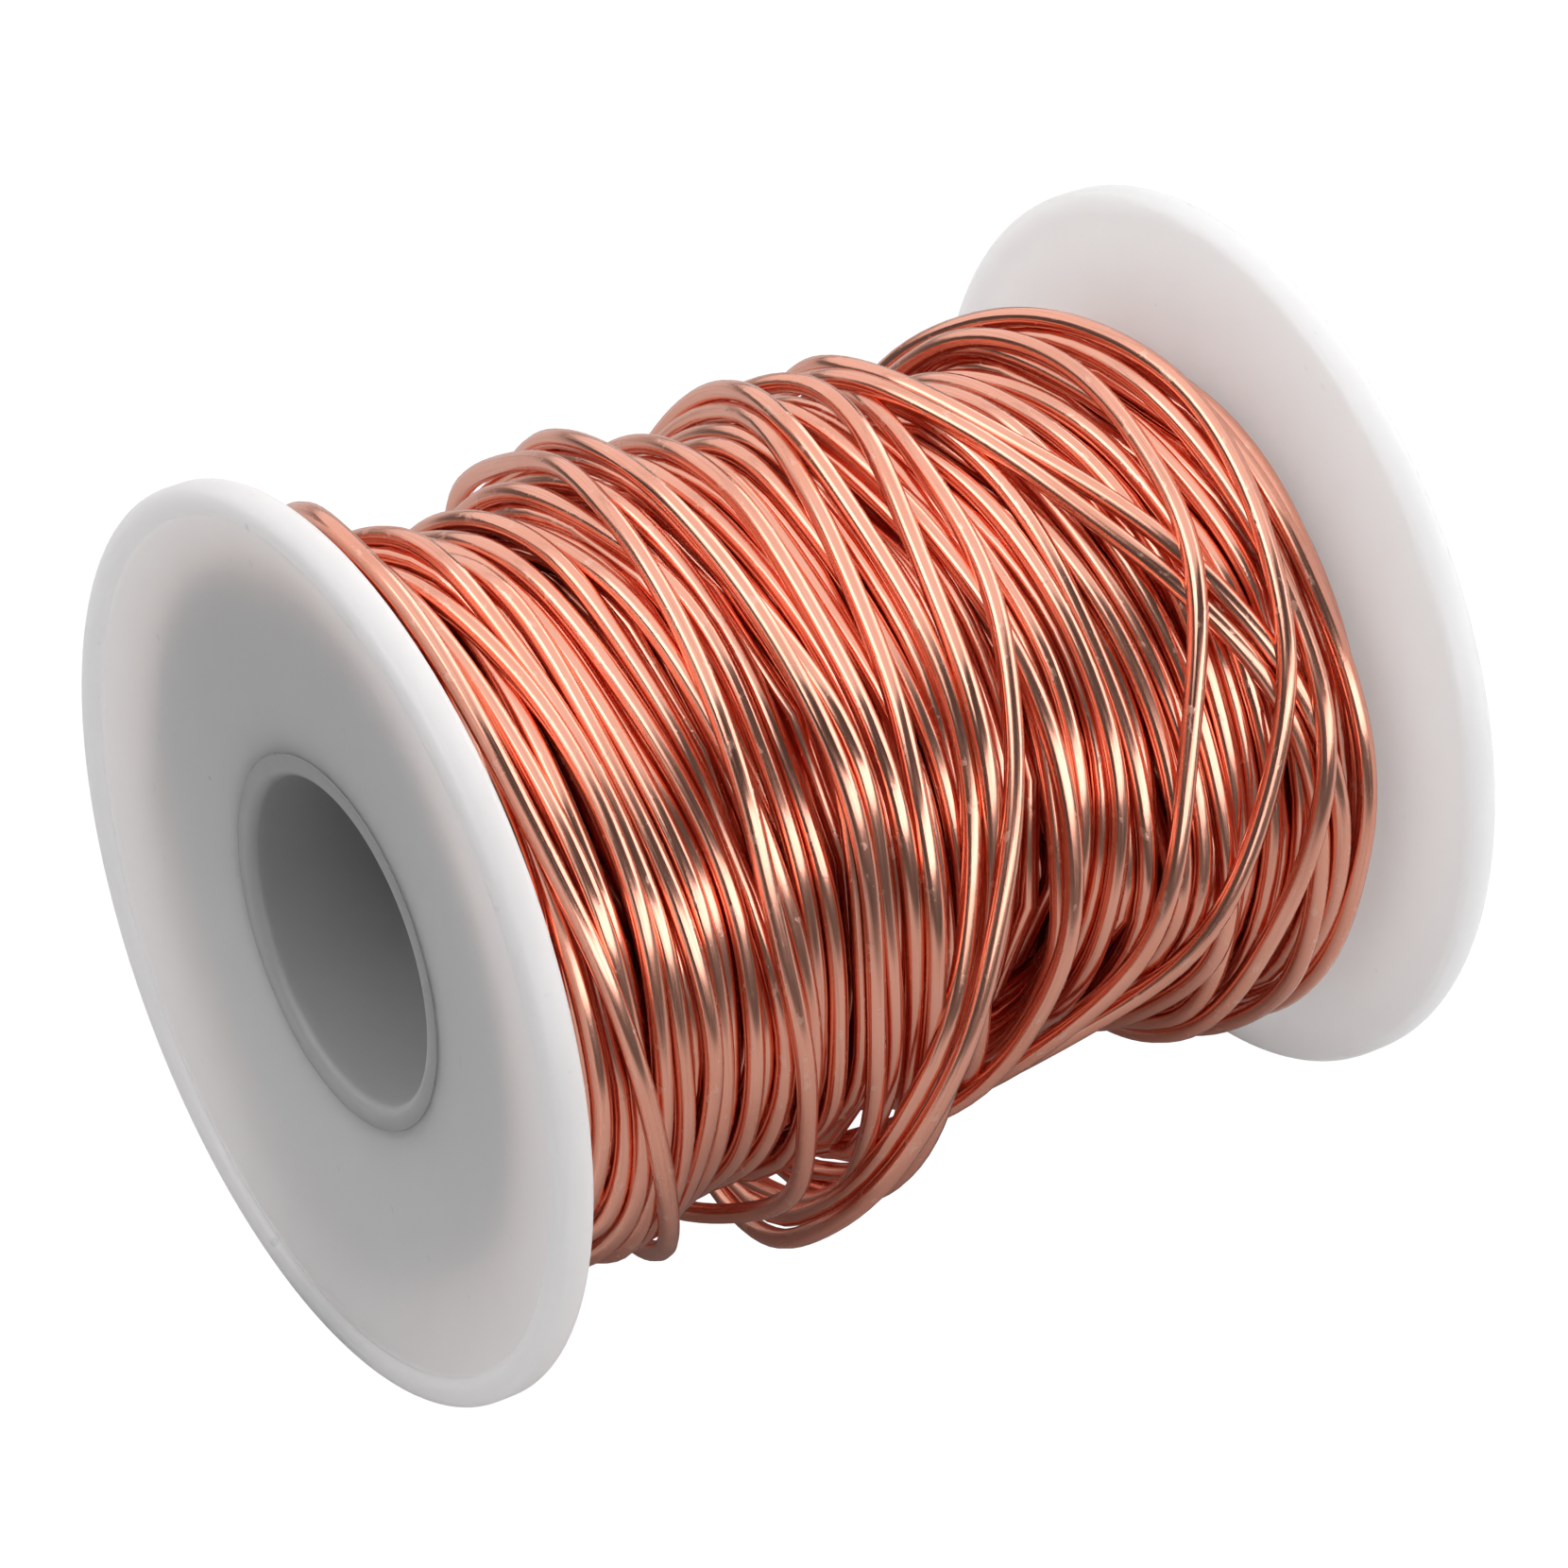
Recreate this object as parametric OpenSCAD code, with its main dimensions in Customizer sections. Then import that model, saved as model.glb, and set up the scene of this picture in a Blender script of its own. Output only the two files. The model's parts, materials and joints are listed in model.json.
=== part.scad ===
// A small wire spool, full of wire and lying on its two rims.
// Millimetres. The spool's axis is Y, the middle of the spool is the origin and +Z is up.
// A core tube carries two flanges, pressed onto its stepped ends. The wire is wound between them.

/* [Flanges] */
// Outer diameter of both flanges
flange_d = 53; // [52:0.5:60]
// Length of the spool over its two rims
spool_length = 61.2; // [57:0.2:70]
// Thickness of a flange at its rim
rim_thickness = 2.4; // [2:0.1:2.8]
// Thickness of a flange at its hub
hub_thickness = 1.6; // [1.4:0.1:2.2]
// How far the outer face at the hub lies inside the rim
dish_depth = 1.8; // [1.2:0.1:2.2]
// Width of the rounded bead around the rim
bead_width = 1.7; // [1.6:0.1:2.2]

/* [Core tube] */
// Diameter of the hole through the spool, for a spindle
bore_d = 19; // [16:0.5:19.5]
// Wall of the tube between the flanges
barrel_wall = 1.9; // [1.6:0.1:2.2]
// Step at each end of the tube that a flange seats against
shoulder = 0.5; // [0.3:0.1:0.7]
// How far the end of the tube stands out of the flange's hub
tube_proud = 0.15; // [0.05:0.05:0.4]

/* [Winding] */
// Usual radius of the winding's surface
winding_r = 21.4; // [19:0.2:22.4]
// Gap that the turns leave at each flange
side_play = 0.1; // [0.05:0.05:0.3]

/* [Hidden] */
$fn = 120;

flange_r = flange_d / 2;
half_length = spool_length / 2;
bore_r = bore_d / 2;
barrel_r = bore_r + barrel_wall;
spigot_r = barrel_r - shoulder;
press_overlap = 0.03;   // the flange's hole is this much smaller in radius than the tube's end

// Depths on a flange are measured inwards from the crest of the bead on its rim.
hub_inner_depth = dish_depth + hub_thickness;
bead_round = 0.7;       // rounding of the bead on both sides of its narrow flat crest
bead_height = 0.75;     // how far the bead stands above the face inside it
inner_round = 0.5;      // rounding of the rim towards the winding
bevel_width = 1.4;      // bevel of the inner face just inside the rim
bevel_drop = 0.2;
bead_r = flange_r - bead_width;
dish_power = 1.6;       // above 1, so the dish steepens towards the hub
dish_steps = 12;
arc_steps = 6;

tube_end = half_length - dish_depth + tube_proud;
mouth_round = 0.6;      // rounding of the bore's mouth
tube_edge = 0.25;       // rounding of the tube's outer edge at each end

// The winding's surface is heaped and hollow along the spool, as hand-guided turns leave it.
// Each pair is a place along the spool, as a share of half the winding's width, and a height
// above or below its usual radius.
heaps = [[-1, -1], [-0.85, -0.7], [-0.6, -0.3], [-0.42, 0.9], [-0.2, 1], [0, 0.6], [0.25, 0.3],
         [0.42, -0.3], [0.6, 0.1], [0.8, 0.3], [1, -0.9]];

// Depth of the flange's dished outer face at a share of the way from the hub to the bead
function dish(share) = bead_height + (dish_depth - bead_height) * pow(1 - share, dish_power);

// Depth of the flange's inner face, a cone from the hub to the rim's bevel
function inner_face(r) =
    rim_thickness + (hub_inner_depth - rim_thickness)
        * (flange_r - bevel_width - r) / (flange_r - bevel_width - spigot_r);

// Points on an arc in a section, from one angle to another
function arc(centre, r, from, to) =
    [for (i = [0:arc_steps]) let (a = from + (to - from) * i / arc_steps) centre + r * [cos(a), sin(a)]];

// Half section of a flange as [radius, depth], from its hole outwards and back
function flange_section(hole_r) = concat(
    [for (i = [0:dish_steps]) let (share = i / dish_steps)
        [hole_r + (bead_r - hole_r) * share, dish(share)]],
    arc([bead_r + bead_round, bead_round], bead_round, 180, 270),
    arc([flange_r - bead_round, bead_round], bead_round, -90, 0),
    arc([flange_r - inner_round, rim_thickness - bevel_drop - inner_round], inner_round, 0, 90),
    [[flange_r - bevel_width, rim_thickness], [hole_r, inner_face(hole_r)]]);

// Turns a section of [radius, place along the axis] about the spool's axis
module lathe(section) {
    rotate([-90, 0, 0]) rotate_extrude() polygon(section);
}

// A flange whose bead has its crest at y = -half_length
module flange() {
    translate([0, -half_length, 0]) lathe(flange_section(spigot_r - press_overlap));
}

module core_tube() {
    shoulder_at = half_length - inner_face(spigot_r);
    upper = concat(
        arc([bore_r + mouth_round, tube_end - mouth_round], mouth_round, 180, 90),
        arc([spigot_r - tube_edge, tube_end - tube_edge], tube_edge, 90, 0),
        [[spigot_r, shoulder_at], [barrel_r, shoulder_at]]);
    lower = [for (i = [len(upper) - 1:-1:0]) [upper[i][0], -upper[i][1]]];
    color("whitesmoke") lathe(concat(upper, lower));
}

module front_flange() {
    color("white") flange();
}

module rear_flange() {
    color("white") mirror([0, 1, 0]) flange();
}

module wire_winding() {
    half_width = half_length - inner_face(winding_r) - side_play;
    at_barrel = half_length - inner_face(barrel_r) - side_play;
    surface = [for (h = heaps) [winding_r + h[1], half_width * h[0]]];
    color([0.8, 0.45, 0.3]) lathe(concat([[barrel_r, -at_barrel]], surface, [[barrel_r, at_barrel]]));
}

core_tube();
front_flange();
rear_flange();
wire_winding();
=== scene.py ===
"""A small wire spool, full of bare copper wire and lying on its two rims.

Metres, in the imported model's frame: the spool's axis is Y, its middle is the origin and +Z is up. The winding
is worked out in millimetres, turn after turn, and the wire's mesh is then made in metres.
"""

import json
import math

import bpy
import numpy as np
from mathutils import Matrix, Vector


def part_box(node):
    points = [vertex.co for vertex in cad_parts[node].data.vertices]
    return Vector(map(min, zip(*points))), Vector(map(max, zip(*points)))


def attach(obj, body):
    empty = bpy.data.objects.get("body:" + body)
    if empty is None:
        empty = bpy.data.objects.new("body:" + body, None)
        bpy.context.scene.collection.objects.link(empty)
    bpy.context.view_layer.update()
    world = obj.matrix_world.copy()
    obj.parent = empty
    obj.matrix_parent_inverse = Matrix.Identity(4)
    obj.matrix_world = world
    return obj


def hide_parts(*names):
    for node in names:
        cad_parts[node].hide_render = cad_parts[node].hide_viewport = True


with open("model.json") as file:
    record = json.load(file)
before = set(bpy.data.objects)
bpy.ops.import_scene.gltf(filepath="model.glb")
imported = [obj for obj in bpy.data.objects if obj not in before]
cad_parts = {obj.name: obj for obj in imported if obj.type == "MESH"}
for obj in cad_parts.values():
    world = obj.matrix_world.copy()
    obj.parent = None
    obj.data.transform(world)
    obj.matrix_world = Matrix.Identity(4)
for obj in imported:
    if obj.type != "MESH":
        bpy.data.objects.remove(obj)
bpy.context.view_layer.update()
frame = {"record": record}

MM = 0.001

# ---------------------------------------------------------------------------
# Sizes read from the frame, in millimetres
# ---------------------------------------------------------------------------


def size_mm(node):
    """A node's size along X, Y and Z."""
    low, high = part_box(node)
    return [(b - a) / MM for a, b in zip(low, high)]


mount = {m["name"]: m for m in frame["record"]["mounts"]}
FLANGE_R = size_mm("front_flange")[0] / 2
HUB_DEPTH = size_mm("front_flange")[1]  # from the bead's crest in to the inner face at the hub
HALF_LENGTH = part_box("rear_flange")[1][1] / MM
BARREL_R = size_mm("core_tube")[0] / 2
TUBE_END = size_mm("core_tube")[1] / 2
BORE_R = mount["spindle_bore"]["dims"]["r_mm"]

# Sizes that the frame doesn't give, in millimetres
RIM_THICKNESS = 2.4
SHOULDER = 0.5  # step in the tube's radius that each flange sits against
SPIGOT_R = BARREL_R - SHOULDER
BEAD_WIDTH = 1.7
BEAD_HEIGHT = 0.75
BEVEL_WIDTH = 1.4
MOUTH_ROUND = 0.6
TUBE_PROUD = 0.03  # how far the tube's end stands out of the flange's face
WIRE_D = 1.2

# ---------------------------------------------------------------------------
# Camera
# ---------------------------------------------------------------------------

CAMERA_AZIMUTH = math.radians(57.25)  # from -Y towards +X
CAMERA_ELEVATION = math.radians(34.45)
CAMERA_DISTANCE = 0.4087
CAMERA_LENS = 166.3
SENSOR = 36.0
# How far the middle of the view lies from the middle of the spool, in flange radii
AIM_RIGHT, AIM_DOWN = 0.0072, 0.0051


def make_camera():
    across, up = math.cos(CAMERA_ELEVATION), math.sin(CAMERA_ELEVATION)
    back = Vector((math.sin(CAMERA_AZIMUTH) * across, -math.cos(CAMERA_AZIMUTH) * across, up))
    turn = back.to_track_quat("Z", "Y")
    aim = turn @ Vector((AIM_RIGHT, -AIM_DOWN, 0)) * FLANGE_R * MM
    data = bpy.data.cameras.new("camera")
    data.lens, data.sensor_width = CAMERA_LENS, SENSOR
    data.clip_start, data.clip_end = 0.01, 50
    camera = bpy.data.objects.new("camera", data)
    camera.location = aim + back * CAMERA_DISTANCE
    camera.rotation_euler = turn.to_euler()
    bpy.context.collection.objects.link(camera)
    bpy.context.scene.camera = camera


make_camera()

# ---------------------------------------------------------------------------
# The winding: one wire, laid turn after turn
# ---------------------------------------------------------------------------

STEPS = 120  # places round a turn where the wire's position is worked out
ANGLE = 2 * math.pi / STEPS
HALF_TURN = STEPS // 2
PAST = 12  # places kept from the wire laid before, so that it goes on smoothly
CELL = 0.05  # spacing, along the spool, of the places where the winding's height is kept
CELLS = int(2 * HALF_LENGTH / CELL) + 1
CELL_Y = (np.arange(CELLS) - CELLS // 2) * CELL
REACH = 27.0  # how far from the middle the turns' centres go
START = -26.5  # where the wire starts along the spool
SEED = 19

# How the wire is guided in the random turns, in millimetres
HALF_TURN_WAY = 0.625  # how far it goes along the spool in half a turn, in wire diameters
SLOWEST, FASTEST = 0.35, 2.6  # it hurries past heaps and lingers over hollows, within these shares of that
HURRY = 6  # how strongly a heap or a hollow changes its way
HEAP_REACH = 1.5  # how far to each side it is judged whether it lies on a heap
TURN_BACK_CHANCE = 0.004
HOP_CHANCE, HOP = 0.03, 2.5
UNEVEN = 0.12
LEAN, LEAN_LASTS = 0.9, 9  # how far a turn strays from square to the axis, and for about how many turns
FULL = 0.9  # share of the heaps' height at which the neat turns begin

# Radius of the winding under its neat turns, along the spool: where it faces UP_SIDE degrees, and opposite
UP_SIDE = 129
HEAPS_UP = [(-27, 19.0), (-20, 18.2), (-15, 19.2), (-11, 20.4), (-7, 18.2), (0, 16.2), (5, 12.6),
            (10, 13.6), (13, 15.4), (17, 16.8), (22, 16.8), (27, 18.4)]
HEAPS_DOWN = [(-27, 21.6), (-20, 21.2), (-12, 20.8), (-6, 17.6), (0, 14.8), (4, 14.8), (9, 16.2),
              (13, 18.0), (17, 19.4), (24, 19.2), (27, 18.6)]

# The neat turns' way round the spool: how far a turn is, at these angles (from +X towards the top), from its
# place along the spool.
LEAN_ANGLES = [-50, -20, 10, 40, 70, 100, 130]
LEANS = [
    (-26, [0.3, 0.1, 0, 0, 0, 0, 0]),
    (-18, [0.8, 0.1, -0.2, 0, -0.5, -1.9, -3.0]),
    (-12, [1.6, 0.4, 0, 0, -0.3, -0.7, -1.6]),
    (-7, [2.4, 0.6, 0, 0, -0.8, -1.6, -1.5]),
    (-2, [1.2, 0, -0.3, 0, 0.2, 0.3, 0.3]),
    (4, [-0.6, -0.8, 0, 0, -0.3, -0.6, -0.6]),
    (10, [-2.4, -2.2, -0.4, 0, -0.8, -1.8, -2.2]),
    (17, [-2.5, -2, 0.3, 0, -1.6, -4.0, -5.2]),
    (22, [-1.2, -1, 0.5, 0, -0.6, -2, -2.8]),
    (26, [-0.4, -0.3, 0, 0, -0.3, -0.8, -1.2]),
]

# The last turns, in the order in which they were laid. Each passes places (angle, millimetres along the
# spool), and a third number is how far the wire stands off the turns under it there.
LAST_TURNS = [
    [(-35, 2.2), (-20, 4), (-10, 5.3), (0, 6), (20, 6.5), (40, 6.4), (60, 5.6), (80, 4.6), (115, 4)],
    [(-50, -3.2), (-30, -5), (0, -6), (45, -6.3), (60, -7.5), (75, -8.2), (90, -8.8), (105, -8.6),
     (120, -7.5)],
    [(-75, -15), (-50, -16.5), (-40, -18.3), (-30, -19.6, 0.5), (-20, -20.6, 0.2), (0, -22.3),
     (20, -23.3), (30, -24.1), (45, -24.8), (60, -25.6), (100, -26), (120, -24)],
    [(-50, -9, 1.2), (-40, -10, 1), (-30, -10.8), (-10, -11.8), (10, -13), (50, -13), (90, -11.4),
     (120, -10)],
    [(-60, -4.2, 2.0), (-50, -4.5, 2.2), (-40, -5.6, 1.2), (-20, -6.8), (0, -7.4), (20, -7), (60, -8),
     (100, -9.2), (120, -8)],
    [(-50, -0.6), (-40, -2.1), (-30, -3), (-20, -3.7), (0, -4.6), (60, -4.9), (80, -3.6), (100, -3.7),
     (120, -2.7)],
    [(-50, -2), (-20, -3.3), (0, -3.9), (15, -3.8), (30, -3.6), (60, -1.4), (80, 0), (100, 1.1),
     (120, 3.2)],
    [(-50, -6.5), (-30, -6), (-15, -4.5), (-5, -3), (5, -1.8), (25, 0.4), (35, 1.3), (60, 1.1),
     (100, 1.4), (120, 3.5)],
    [(-50, -3), (-20, -1), (0, 0.2), (20, 0.9), (50, 2), (60, 2.6), (80, 4.4), (90, 5.4),
     (100, 6.6, 0.4), (110, 7, 1.2), (120, 5.5, 0.6)],
    [(-50, -7.5), (-30, -5.8), (-15, -3.8), (-5, -2.3), (5, -0.8), (20, 1.6), (30, 3.2), (45, 5),
     (55, 6.3), (80, 7), (100, 8.3), (120, 10.2)],
    [(-50, 22.5), (10, 22.5), (25, 21.5), (33, 20.2), (45, 17.3), (60, 14.9), (80, 11.4), (90, 9.9),
     (115, 7.8)],
    [(-50, 24), (10, 23.5), (25, 22.4), (33, 20.9), (50, 18.3), (60, 16.7), (80, 13.2), (100, 9.9),
     (115, 8.8)],
    [(-50, 24.5), (-10, 25), (10, 25.8), (30, 25.5), (50, 25), (80, 24.6), (120, 24)],
    [(-50, 16.5), (-30, 18), (-20, 18.9), (-10, 20.3), (0, 21.6), (10, 22.3), (25, 23), (40, 23.4),
     (120, 22.5)],
    [(-50, 4), (-35, 8), (-25, 10.5), (-15, 13.8), (5, 18), (15, 19.7), (25, 21), (35, 22), (50, 22.9),
     (65, 24), (80, 24.5), (120, 22)],
    [(-50, 3), (-25, 8.5), (-15, 10.5), (-5, 12), (5, 12.4), (15, 13.2), (35, 16.4), (45, 18),
     (55, 19), (70, 19.7), (85, 20.4), (100, 20.8), (120, 19), (190, 15)],
]


def inner_face(r):
    """Depth of a flange's inner face at radius r, from the bead's crest."""
    outside = FLANGE_R - BEVEL_WIDTH
    return RIM_THICKNESS + (HUB_DEPTH - RIM_THICKNESS) * (outside - r) / (outside - SPIGOT_R)


TOUCH_R, PLAY = 20.0, 0.05  # radius where the wire meets a flange, and the play left there
Y_LIMIT = HALF_LENGTH - inner_face(TOUCH_R) - WIRE_D / 2 - PLAY


def eased(values, before, spread):
    """Values smoothed by a bell curve that is spread places wide. The values before them stay."""
    reach = min(int(3 * spread) + 1, PAST)
    bell = np.exp(-0.5 * (np.arange(-reach, reach + 1) / spread) ** 2)
    after = 2 * values[-1] - values[-2 : -reach - 2 : -1]
    return np.convolve(np.concatenate([before[-reach:], values, after]), bell / bell.sum(), "valid")


def curve_through(points, share):
    """The Catmull-Rom curve from the second of four points to the third."""
    a, b, c, d = points
    return 0.5 * (2 * b + (c - a) * share + (2 * a - 5 * b + 4 * c - d) * share**2
                  + (3 * b - a - 3 * c + d) * share**3)


class Winding:
    """The wire laid so far, and the radius at which more wire would come to rest on it."""

    def __init__(self, start):
        self.rest = np.full((STEPS, CELLS), BARREL_R + WIRE_D / 2)
        self.y = [start] * PAST
        self.r = [BARREL_R + WIRE_D / 2] * PAST

    def steps(self):
        """How many places have been laid."""
        return len(self.y) - PAST

    def support(self, steps, y):
        """The radius at which the wire's centre rests, at a place along the spool for each step."""
        place = (y - CELL_Y[0]) / CELL
        cell = np.clip(place.astype(int), 0, CELLS - 2)
        part = place - cell
        row = steps % STEPS
        return self.rest[row, cell] * (1 - part) + self.rest[row, cell + 1] * part

    def slid(self, steps, guide, pull, slide, stiffness):
        """Where a taut wire that is guided along the spool slides to, off the tops of the wires under it."""
        before = np.array(self.y[-PAST:])
        y, rounds = guide.copy(), 24
        for i in range(rounds):
            # Off the strand right under it, and off the heap around it
            for near, share in ((0.1, 1), (1.5, 3)):
                slope = (self.support(steps, y + near) - self.support(steps, y - near)) / (2 * near)
                y = y - share * slide * np.clip(slope, -1, 1) * (1 - 0.6 * i / rounds)
            y = eased(y + pull * (guide - y), before, stiffness)
            y = np.clip(y, -Y_LIMIT, Y_LIMIT)
        return y

    def stretched(self, steps, y, lift):
        """The radius of a taut wire: on its supports, and straight between them."""
        low = self.support(steps, y) + lift
        inverse = 1 / np.concatenate([[self.r[-1]], low])
        bent = []  # the places where the wire is bent over a support
        for i, here in enumerate(inverse):
            while len(bent) > 1 and i - bent[-2] < HALF_TURN:
                a, b = bent[-2:]
                straight = inverse[a] * math.sin((i - b) * ANGLE) + here * math.sin((b - a) * ANGLE)
                if inverse[b] * math.sin((i - a) * ANGLE) < straight:
                    break
                bent.pop()
            bent.append(i)
        bent = np.array(bent)
        place = np.arange(1, len(inverse))
        end = np.searchsorted(bent, place)
        a, b = bent[end - 1], bent[end]
        straight = inverse[a] * np.sin((b - place) * ANGLE) + inverse[b] * np.sin((place - a) * ANGLE)
        r = np.sin((b - a) * ANGLE) / straight
        return np.maximum(eased(r, np.array(self.r[-PAST:]), 2), low)

    def lay(self, guide, lift=0.0, pull=0.03, slide=0.12, stiffness=2.9):
        """Lays half a turn, looking a whole turn ahead. guide is the wire's way along the spool there."""
        steps = self.steps() + np.arange(len(guide))
        y = self.slid(steps, guide, pull, slide, stiffness)
        r = self.stretched(steps, y, lift)
        for i in range(HALF_TURN):
            self.press(steps[i], y[i], r[i], (y[i] - self.y[-1]) / (r[i] * ANGLE))

    def press(self, step, y, r, slope):
        """Raises the rest radius around one place where wire now lies. slope is its lean along the spool."""
        lean = 1 / math.hypot(1, slope)
        across = (CELL_Y - y) * lean
        near = np.abs(across) < WIRE_D
        row = self.rest[step % STEPS]
        row[near] = np.maximum(row[near], r + np.sqrt(WIRE_D**2 - across[near] ** 2))
        self.y.append(float(y))
        self.r.append(float(r))

    def points(self):
        """The wire's centreline, in metres."""
        y, r = np.array(self.y), np.array(self.r)
        y, r = eased(y[PAST:], y[:PAST], 1.5), eased(r[PAST:], r[:PAST], 2.5)
        angle = np.arange(len(y)) * ANGLE
        return np.stack([r * np.cos(angle), y, r * np.sin(angle)], 1) * MM


def section_share(radius):
    """The share of the winding's section that lies below each place along the spool, for a radius at each."""
    total = np.cumsum(radius**2 - BARREL_R**2)
    return total / total[-1]


def wound():
    """Winds the whole spool."""
    random = np.random.default_rng(SEED)
    winding = Winding(START)
    inside = np.abs(CELL_Y) < REACH
    up, down = [np.interp(CELL_Y, *zip(*heaps)) for heaps in (HEAPS_UP, HEAPS_DOWN)]
    share_up, share_down = section_share(up), section_share(down)
    # How far a turn goes along the spool on its way to the side that faces up
    way_up = np.interp(share_down, share_up, CELL_Y) - CELL_Y
    full = 0.5 * (up + down) + WIRE_D / 2 - BARREL_R
    part = np.arange(HALF_TURN) / HALF_TURN
    lane, way = START, 1
    lean = np.zeros(2)
    steady = math.exp(-0.5 / LEAN_LASTS)
    kick = math.sqrt(1 - steady**2)
    knots = []
    while True:
        level = (winding.rest.mean(axis=0) - BARREL_R) / full
        half = winding.steps() // HALF_TURN
        if level[inside].mean() > FULL and half % 2 == 1 and abs(lane) > REACH - 1:
            break
        while len(knots) < half + 5:
            near = np.abs(CELL_Y - lane) < HEAP_REACH
            hurry = np.clip(1 + HURRY * (level[near].mean() - level[inside].mean()), SLOWEST, FASTEST)
            lane += way * HALF_TURN_WAY * WIRE_D * hurry
            if abs(lane) > REACH - 0.1:
                lane = math.copysign(REACH - 0.1, lane)
                way = -math.copysign(1, lane)
            elif random.random() < TURN_BACK_CHANCE:
                way = -way
            lean = steady * lean + kick * random.normal(0, LEAN, 2)
            hop = random.normal(0, HOP) if random.random() < HOP_CHANCE else 0.0
            knots.append((lane + random.normal(0, UNEVEN) + hop, *lean))
        guide = []
        for i in (half, half + 1):
            four = np.array([knots[max(i - 1, 0)], *knots[i : i + 3]])
            middle, a, b = [curve_through(four[:, k], part) for k in range(3)]
            angle = (i * HALF_TURN + np.arange(HALF_TURN)) * ANGLE
            climb = 0.5 * np.interp(middle, CELL_Y, way_up) * (1 + np.cos(angle - math.radians(UP_SIDE)))
            guide.append(middle + climb + a * np.cos(angle) + b * np.sin(angle))
        winding.lay(np.concatenate(guide))
    lay_turns(winding, neat_turns(random, -24.6, 25.6, 1.32), pull=0.06, slide=0.1, stiffness=2.5)
    lay_turns(winding, neat_turns(random, 25.4, -25.6, 1.42), pull=0.06, slide=0.1, stiffness=2.5)
    lay_turns(winding, LAST_TURNS, pull=0.25, slide=0.05, stiffness=1.6)
    return winding


def neat_turns(random, first, last, pitch):
    """Turns side by side, from one place along the spool to another."""
    lanes, leans = zip(*LEANS)
    leans = np.array(leans, float)
    count = int(abs(last - first) / pitch)
    stray = random.normal(0, 0.25, len(LEAN_ANGLES))
    turns = []
    for i in range(count + 1):
        lane = first + (last - first) * i / count + random.normal(0, UNEVEN)
        stray = 0.7 * stray + random.normal(0, 0.2, len(LEAN_ANGLES))
        places = [lane + np.interp(lane, lanes, leans[:, k]) for k in range(len(LEAN_ANGLES))]
        turns.append(list(zip(LEAN_ANGLES, np.array(places) + stray)))
    return turns


def lay_turns(winding, turns, pull, slide, stiffness):
    """Lays turns that pass given places. The winding is half a turn from +X before and after."""
    angle, along, stand_off = [0], [winding.y[-1]], [0.0]
    for turn, places in enumerate(turns):
        for place in places:
            angle.append(turn * 360 + 180 + place[0])
            along.append(place[1])
            stand_off.append(place[2] if len(place) > 2 else 0.0)
    at = np.arange(0, len(turns) * 360 + 180, 360 / STEPS)
    guide = eased(np.interp(at, angle, along), np.array(winding.y[-PAST:]), 2.5)
    lift = eased(np.interp(at, angle, stand_off), np.zeros(PAST), 2.5)
    for first in range(0, len(turns) * STEPS, HALF_TURN):
        ahead = slice(first, first + STEPS)
        winding.lay(guide[ahead], lift[ahead], pull, slide, stiffness)


SIDES = 10  # flats round the wire
HIDDEN_EVERY = 8  # deep inside the winding, one place in this many gets a ring of the mesh
SEEN_RINGS = ((2.3, 2), (1.3, 1))  # under less than this many diameters of wire, one place in this many does


def tube(name, line, radius):
    """A closed tube along a line of points, with the ring places kept for its material."""
    ahead = np.gradient(line, axis=0)
    ahead /= np.linalg.norm(ahead, axis=1)[:, None]
    out = line * [1, 0, 1]
    out -= ahead * (out * ahead).sum(axis=1)[:, None]
    out /= np.linalg.norm(out, axis=1)[:, None]
    aside = np.cross(ahead, out)
    turn = np.arange(SIDES) * 2 * math.pi / SIDES
    ring = np.cos(turn)[None, :, None] * out[:, None] + np.sin(turn)[None, :, None] * aside[:, None]
    verts = (line[:, None] + radius * ring).reshape(-1, 3)
    count = len(line)
    first = np.arange(count - 1)[:, None] * SIDES
    side = np.arange(SIDES)[None]
    after = (side + 1) % SIDES
    quads = np.stack([first + side, first + after, first + after + SIDES, first + side + SIDES], 2)
    faces = quads.reshape(-1, 4)[:, ::-1].tolist()
    faces.append(list(range(SIDES)))
    faces.append(list(range((count - 1) * SIDES, count * SIDES))[::-1])
    mesh = bpy.data.meshes.new(name)
    mesh.from_pydata(verts.tolist(), [], faces)
    mesh.polygons.foreach_set("use_smooth", [True] * (len(faces) - 2) + [False] * 2)
    along = np.concatenate([[0], np.cumsum(np.linalg.norm(np.diff(line, axis=0), axis=1))])
    place = np.zeros((count, SIDES, 3))
    place[:, :, 0] = radius * np.cos(turn)
    place[:, :, 1] = radius * np.sin(turn)
    place[:, :, 2] = along[:, None]
    data = mesh.attributes.new("wire_place", "FLOAT_VECTOR", "POINT")
    data.data.foreach_set("vector", place.ravel())
    mesh.update()
    piece = bpy.data.objects.new(name, mesh)
    bpy.context.collection.objects.link(piece)
    return piece


def make_wire():
    winding = wound()
    line = winding.points()
    steps = np.arange(len(line))
    y, r = np.array(winding.y[PAST:]), np.array(winding.r[PAST:])
    cover = winding.support(steps, y) - r  # how thick the wire lies over each place
    kept = steps % HIDDEN_EVERY == 0
    for depth, every in SEEN_RINGS:
        near = np.convolve(cover < depth * WIRE_D, np.ones(7), "same") > 0
        kept |= near & (steps % every == 0)
    line = line[kept]
    wire = tube("copper_wire", line, WIRE_D / 2 * MM)
    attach(wire, "root")
    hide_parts("wire_winding")
    return wire


# ---------------------------------------------------------------------------
# The mouldings
# ---------------------------------------------------------------------------


AROUND = 256  # flats round a moulding


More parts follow.
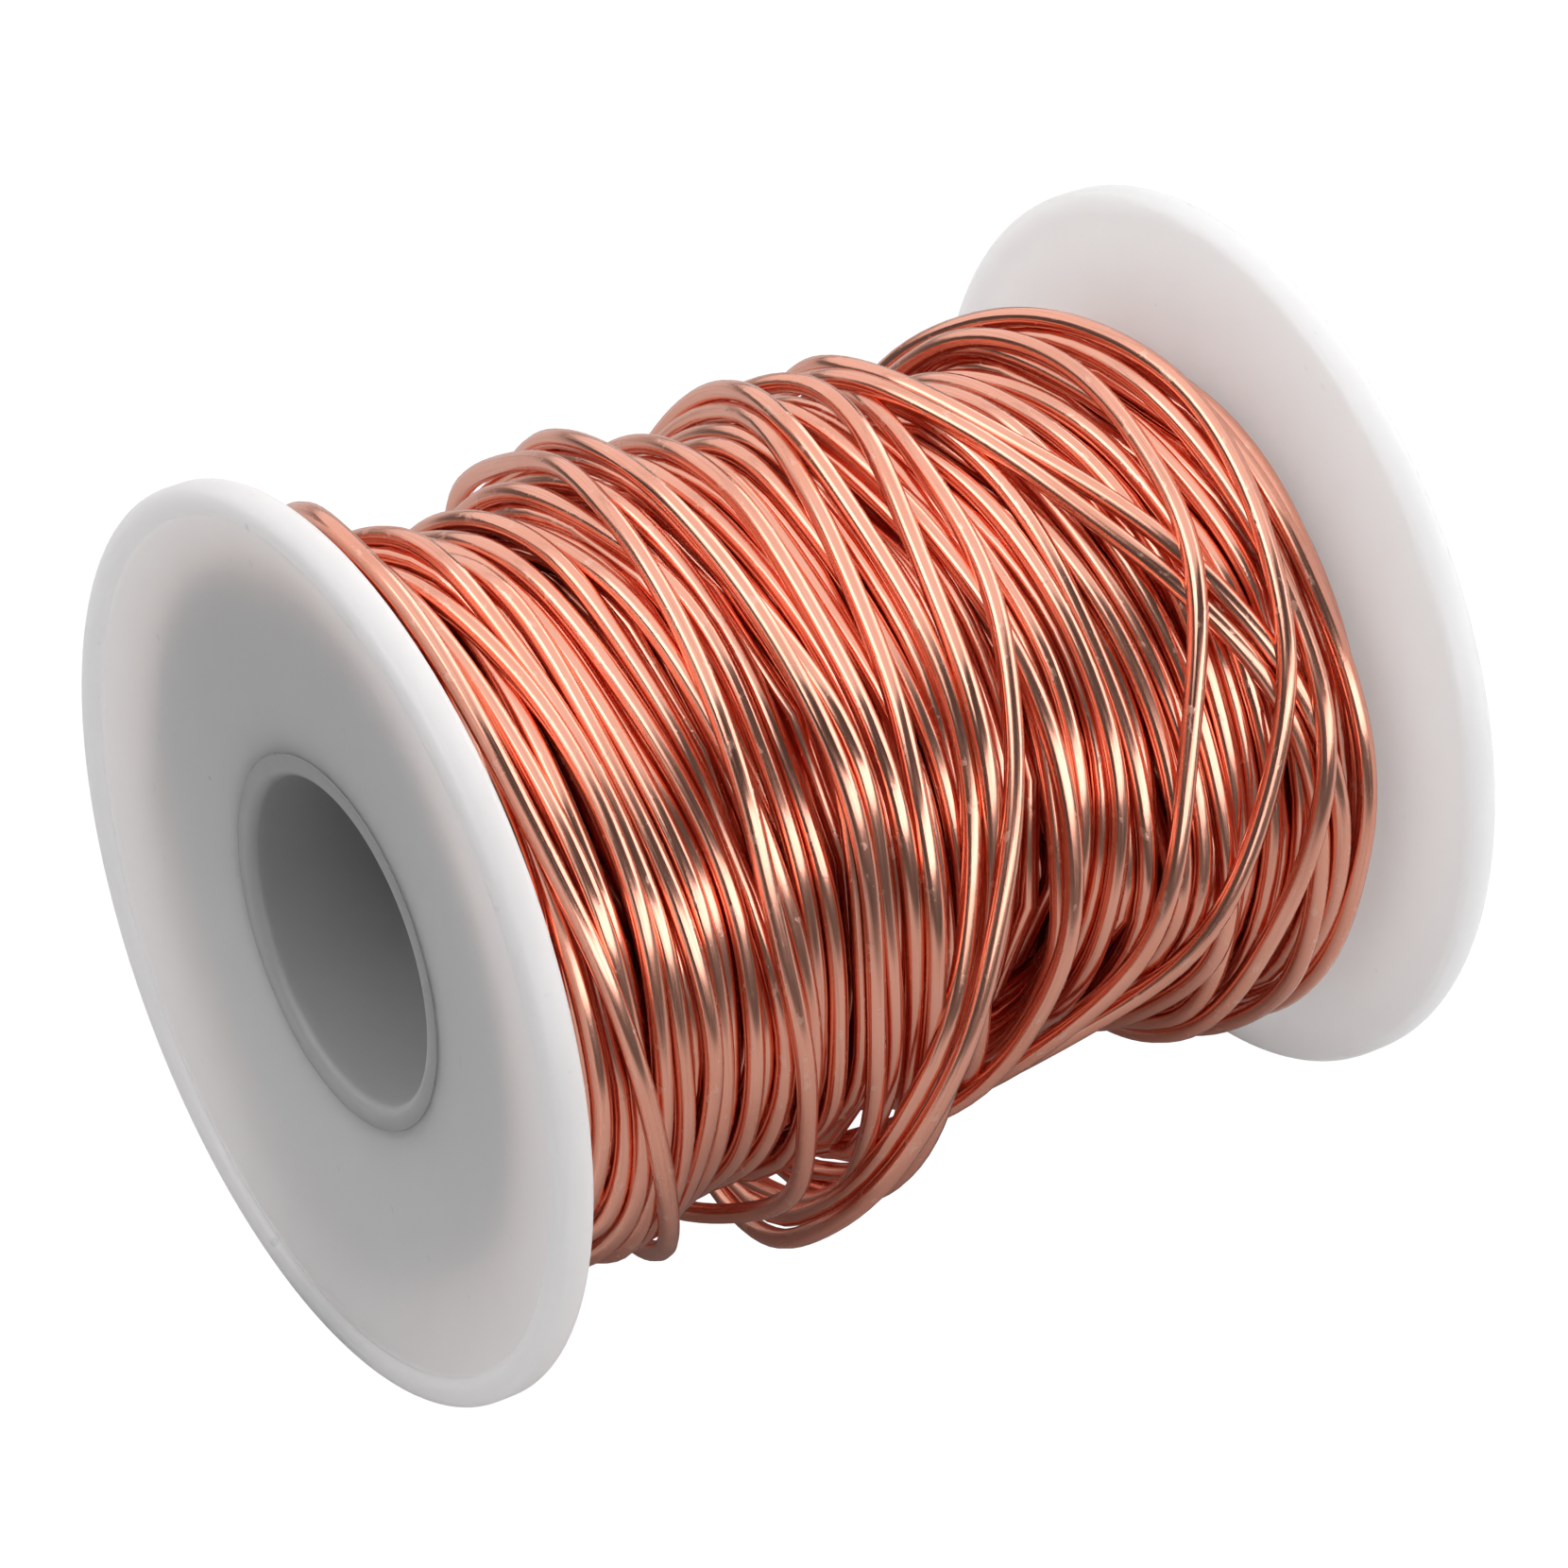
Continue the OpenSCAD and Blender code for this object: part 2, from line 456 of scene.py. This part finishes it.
def lathe(name, section):
    """Turns a closed section of (radius, place along Y) points, in millimetres, about the Y axis."""
    section = np.array(section)
    angle = np.arange(AROUND) * 2 * math.pi / AROUND
    ring = np.stack([np.cos(angle), np.zeros(AROUND), np.sin(angle)], 1)
    verts = section[:, None, :1] * ring[None] + section[:, None, 1:] * np.array([0, 1, 0])
    count = len(section)
    i, j = np.meshgrid(np.arange(count), np.arange(AROUND), indexing="ij")
    ahead, beside = (i + 1) % count, (j + 1) % AROUND
    faces = np.stack([i * AROUND + j, i * AROUND + beside, ahead * AROUND + beside, ahead * AROUND + j], 2)
    mesh = bpy.data.meshes.new(name)
    mesh.from_pydata((verts.reshape(-1, 3) * MM).tolist(), [], faces.reshape(-1, 4).tolist())
    mesh.polygons.foreach_set("use_smooth", [True] * len(mesh.polygons))
    mesh.update()
    piece = bpy.data.objects.new(name, mesh)
    bpy.context.collection.objects.link(piece)
    return piece


def arc(centre, r, start, end, steps=8):
    """Points on an arc, as (radius from the axis, depth). Angles in degrees."""
    angles = [math.radians(start + (end - start) * i / steps) for i in range(steps + 1)]
    return [(centre[0] + r * math.cos(a), centre[1] + r * math.sin(a)) for a in angles]


def flange_section(hole_r):
    """A flange's half section as (radius, depth from the bead's crest)."""
    bead_r = FLANGE_R - BEAD_WIDTH
    crest, fillet, round_in, hole_round = 0.7, 0.2, 0.5, 0.05
    bead = (bead_r + crest, crest)
    # The fillet's circle touches the face and the bead's inner rounding.
    drop = BEAD_HEIGHT - fillet
    corner = (bead[0] - math.sqrt((crest + fillet) ** 2 - (crest - drop) ** 2), drop)
    meet = math.degrees(math.atan2(crest - drop, bead[0] - corner[0]))
    hub = HALF_LENGTH - TUBE_END + TUBE_PROUD
    steps = 24
    dished = arc((hole_r + hole_round, hub + hole_round), hole_round, 180, 270, 4)
    for i in range(1, steps):
        share = i / steps
        dished.append((hole_r + hole_round + (corner[0] - hole_r - hole_round) * share,
                       BEAD_HEIGHT + (hub - BEAD_HEIGHT) * (1 - share) ** 1.6))
    rim = arc(corner, fillet, 90, meet, 5) + arc(bead, crest, 180 + meet, 270, 10)
    rim += arc((FLANGE_R - crest, crest), crest, -90, 0, 10)
    rim += arc((FLANGE_R - round_in, RIM_THICKNESS - 0.2 - round_in), round_in, 0, 90)
    inner = [(FLANGE_R - BEVEL_WIDTH, RIM_THICKNESS), (hole_r, inner_face(hole_r))]
    return dished + rim + inner


def make_mouldings():
    section = flange_section(SPIGOT_R)
    front = lathe("front_flange_moulding", [(r, depth - HALF_LENGTH) for r, depth in section])
    rear = lathe("rear_flange_moulding", [(r, HALF_LENGTH - depth) for r, depth in section[::-1]])
    edge = 0.08
    shoulder_at = HALF_LENGTH - inner_face(SPIGOT_R)
    upper = arc((BORE_R + MOUTH_ROUND, TUBE_END - MOUTH_ROUND), MOUTH_ROUND, 180, 90, 10)
    upper += arc((SPIGOT_R - edge, TUBE_END - edge), edge, 90, 0, 5)
    upper += [(SPIGOT_R, shoulder_at), (BARREL_R, shoulder_at)]
    lower = [(r, -y) for r, y in upper[::-1]]
    tube_piece = lathe("core_tube_moulding", upper + lower)
    flange = milky_plastic("flange_plastic", 0.84, 9.0)
    # Painted shade: the tube is the flanges' milky plastic, made far darker and less deep so that the bore
    # inside the winding looks dark.
    tube_plastic = milky_plastic("tube_plastic", 0.40, 2.0)
    for piece, node, slot, plastic in ((front, "front_flange", "flange_plastic", flange),
                                       (rear, "rear_flange", "flange_plastic", flange),
                                       (tube_piece, "core_tube", "tube_plastic", tube_plastic)):
        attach(piece, "root")
        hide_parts(node)
        piece.data.materials.append(plastic)


# ---------------------------------------------------------------------------
# Materials
# ---------------------------------------------------------------------------

# Small marks on the flanges: place in millimetres, radius, how dark
MARKS = [((-17.6, -29.4, 10.6), 0.45, 0.25), ((-6.2, -30.4, -24.1), 0.4, 0.3),
         ((-16.7, -29.5, 15.9), 0.25, 0.35), ((-13.3, -29.1, 3.4), 0.22, 0.35),
         ((-5.4, -28.8, -7.0), 0.22, 0.3), ((-4.75, -30.5, 24.96), 0.3, 0.3),
         ((14.1, 27.6, -13.8), 0.4, 0.25)]


class Graph:
    """A material's nodes, with short ways to add more."""

    def __init__(self, name):
        self.material = bpy.data.materials.new(name)
        self.material.use_nodes = True
        self.nodes, self.links = self.material.node_tree.nodes, self.material.node_tree.links
        self.shader = self.nodes["Principled BSDF"]

    def put(self, value, socket):
        """Sets a socket to a value, or links it to another node's socket."""
        if isinstance(value, bpy.types.NodeSocket):
            self.links.new(value, socket)
        else:
            socket.default_value = value

    def surface(self, **values):
        """Sets the shader's inputs. An underscore stands for a space."""
        for name, value in values.items():
            self.put(value, self.shader.inputs[name.replace("_", " ")])

    def math(self, operation, *values):
        node = self.nodes.new("ShaderNodeMath")
        node.operation = operation
        for value, socket in zip(values, node.inputs):
            self.put(value, socket)
        return node.outputs[0]

    def vector(self, operation, *values):
        node = self.nodes.new("ShaderNodeVectorMath")
        node.operation = operation
        for value, socket in zip(values, node.inputs):
            self.put(value, socket)
        return node.outputs["Value"] if operation == "DISTANCE" else node.outputs["Vector"]

    def millimetres(self, attribute=None, scale=(1, 1, 1)):
        """A place in millimetres, stretched by scale: on the piece, or read from one of its attributes."""
        if attribute:
            source = self.nodes.new("ShaderNodeAttribute")
            source.attribute_name = attribute
            place = source.outputs["Vector"]
        else:
            place = self.nodes.new("ShaderNodeTexCoord").outputs["Object"]
        return self.vector("MULTIPLY", place, [part / MM for part in scale])

    def noise(self, place, scale=1.0, detail=2.0):
        node = self.nodes.new("ShaderNodeTexNoise")
        self.put(place, node.inputs["Vector"])
        node.inputs["Scale"].default_value = scale
        node.inputs["Detail"].default_value = detail
        return node.outputs[0]

    def between(self, value, low, high, at_low=0.0, at_high=1.0):
        """Maps a value smoothly from low..high to at_low..at_high."""
        node = self.nodes.new("ShaderNodeMapRange")
        node.interpolation_type = "SMOOTHSTEP"
        for socket, number in zip(list(node.inputs)[:5], (value, low, high, at_low, at_high)):
            self.put(number, socket)
        return node.outputs[0]

    def mix(self, share, a, b):
        """A colour between a and b."""
        node = self.nodes.new("ShaderNodeMix")
        node.data_type = "RGBA"
        self.put(share, node.inputs[0])
        self.put(a, node.inputs[6])
        self.put(b, node.inputs[7])
        return node.outputs[2]

    def bump(self, height, depth, strength=1.0):
        """Relief from a height of 0..1, depth millimetres deep."""
        node = self.nodes.new("ShaderNodeBump")
        node.inputs["Strength"].default_value = strength
        node.inputs["Distance"].default_value = depth * MM
        self.put(height, node.inputs["Height"])
        self.put(node.outputs[0], self.shader.inputs["Normal"])


def copper():
    """Bright drawn copper: fine dark streaks along the wire, duller patches, a few scuffs."""
    g = Graph("bare_copper")
    bright, duller, redder = (0.94, 0.45, 0.33, 1), (0.88, 0.38, 0.26, 1), (0.84, 0.38, 0.28, 1)
    paler, darker = (0.98, 0.62, 0.50, 1), (0.62, 0.31, 0.24, 1)
    drawn = g.noise(g.millimetres("wire_place", (9, 9, 0.12)), 1.0, 3)
    scuff = g.between(g.noise(g.millimetres("wire_place", (1.5, 1.5, 0.9)), 1.0, 3), 0.62, 0.72)
    dull = g.between(g.noise(g.millimetres(), 0.16, 3), 0.42, 0.68)
    patch = g.between(g.noise(g.millimetres("wire_place", (0.5, 0.5, 0.05)), 1.0, 2), 0.45, 0.7)
    colour = g.mix(g.math("MULTIPLY", dull, 0.55), bright, duller)
    colour = g.mix(g.math("MULTIPLY", patch, 0.35), colour, redder)
    colour = g.mix(g.math("MULTIPLY", scuff, 0.5), colour, paler)
    streak = g.math("MULTIPLY", g.between(drawn, 0.52, 0.72), 0.4)
    colour = g.mix(streak, colour, darker)
    rough = g.math("ADD", g.between(drawn, 0.3, 0.7, 0.14, 0.25), g.math("MULTIPLY", dull, 0.05))
    rough = g.math("ADD", rough, g.math("MULTIPLY", scuff, 0.12))
    g.surface(Metallic=1.0, Base_Color=colour, Roughness=rough)
    g.bump(g.math("ADD", drawn, g.math("MULTIPLY", scuff, -0.6)), 0.012, 0.6)
    return g.material


def milky_plastic(name, tint, depth):
    """Milky moulded plastic with a fine grain and small marks. Light goes depth millimetres into it."""
    g = Graph(name)
    place = g.millimetres()
    cloud = g.noise(place, 0.09, 3)
    grain = g.noise(place, 2.2, 4)
    speck = g.between(g.noise(place, 0.9, 1), 0.76, 0.80)
    light = (tint, tint, tint * 1.005, 1)
    dark = (0.97 * tint, 0.97 * tint, 0.975 * tint, 1)
    speck_grey, mark_grey = (0.45, 0.44, 0.42, 1), (0.40, 0.40, 0.40, 1)
    colour = g.mix(g.between(cloud, 0.3, 0.7), light, dark)
    colour = g.mix(g.math("MULTIPLY", speck, 0.12), colour, speck_grey)
    for centre, radius, strength in MARKS:
        apart = g.vector("DISTANCE", place, centre)
        colour = g.mix(g.between(apart, radius * 0.5, radius, strength, 0.0), colour, mark_grey)
    rough = g.math("ADD", g.between(grain, 0.3, 0.7, 0.34, 0.42), g.math("MULTIPLY", speck, 0.1))
    g.surface(Base_Color=colour, Roughness=rough, Subsurface_Weight=1.0, Subsurface_Radius=(1, 1, 1),
              Subsurface_Scale=depth * MM)
    g.bump(g.math("ADD", grain, g.math("MULTIPLY", cloud, 2.0)), 0.02, 0.5)
    return g.material


def pale_floor():
    """A pale floor with a dark patch beside and in front of the spool, which only reflections and light see:
    the patch stands in for shade and puts a dark band into the wire's reflections. The camera itself sees all
    of the floor as plain white."""
    g = Graph("pale_floor")
    fibres = g.noise(g.millimetres(), 0.6, 4)
    # Dark floor patch, seen only in reflections and by light: it stands in for shade, to darken a band of the
    # wire's reflections.
    reflection_shade_patch = (0.06, 0.06, 0.06, 1)
    sheet = g.mix(fibres, (0.54, 0.54, 0.54, 1), (0.58, 0.58, 0.58, 1))
    split = g.nodes.new("ShaderNodeSeparateXYZ")
    g.put(g.millimetres(), split.inputs[0])
    beside = g.between(split.outputs["X"], 65, 90)
    before = g.between(split.outputs["Y"], -60, -90)
    sheet = g.mix(g.math("MAXIMUM", beside, before), sheet, reflection_shade_patch)
    g.surface(Base_Color=sheet, Roughness=0.9)
    white = g.nodes.new("ShaderNodeEmission")
    white.inputs["Strength"].default_value = 1.05
    mixed = g.nodes.new("ShaderNodeMixShader")
    g.put(g.nodes.new("ShaderNodeLightPath").outputs["Is Camera Ray"], mixed.inputs[0])
    g.put(g.shader.outputs[0], mixed.inputs[1])
    g.put(white.outputs[0], mixed.inputs[2])
    g.put(mixed.outputs[0], g.nodes["Material Output"].inputs["Surface"])
    return g.material


# ---------------------------------------------------------------------------
# Floor and light
# ---------------------------------------------------------------------------

WORLD_LIGHT = 0.07

# Name, place, the way it faces, level size, other size, radiance
SOFTBOXES = [
    ("overhead", (-0.2, 0, 1.0), (0.02, 0, -1), 2.0, 1.5, 0.95),
    ("side", (1.0, 0.4, 0.24), (-1, 0, 0), 2.0, 0.40, 2.4),
    ("back", (0, 1.1, 0.5), (0, -1.1, -0.5), 2.0, 0.9, 2.1),
    ("left", (-1.1, 0, 0.5), (1.1, 0, -0.5), 2.0, 0.9, 0.9),
    ("front", (0, -0.85, 1.0), (0, 0.85, -1.0), 1.6, 0.6, 1.9),
]


def make_floor():
    half = 5.0
    mesh = bpy.data.meshes.new("floor")
    corners = [(-half, -half, 0), (half, -half, 0), (half, half, 0), (-half, half, 0)]
    mesh.from_pydata(corners, [], [(0, 1, 2, 3)])
    floor = bpy.data.objects.new("floor", mesh)
    floor.location.z = -FLANGE_R * MM
    floor.data.materials.append(pale_floor())
    bpy.context.collection.objects.link(floor)


def softbox(name, place, facing, width, height, radiance):
    """An area light, width metres level and height metres the other way, that faces along a direction."""
    data = bpy.data.lights.new(name, "AREA")
    data.shape = "RECTANGLE"
    data.size, data.size_y = width, height
    data.energy = radiance * math.pi * width * height
    light = bpy.data.objects.new(name, data)
    light.location = place
    light.rotation_euler = (-Vector(facing)).to_track_quat("Z", "Y").to_euler()
    bpy.context.collection.objects.link(light)


def make_lights():
    world = bpy.data.worlds.new("studio")
    world.use_nodes = True
    world.node_tree.nodes["Background"].inputs["Color"].default_value = (WORLD_LIGHT,) * 3 + (1,)
    bpy.context.scene.world = world
    for box in SOFTBOXES:
        softbox(*box)


wire = make_wire()
wire.data.materials.append(copper())
make_mouldings()
make_floor()
make_lights()
bpy.context.scene.view_settings.view_transform = "Standard"
# Light goes to and fro many times between the strands and inside the milky plastic.
bpy.context.scene.cycles.max_bounces = 24
bpy.context.scene.cycles.glossy_bounces = 12
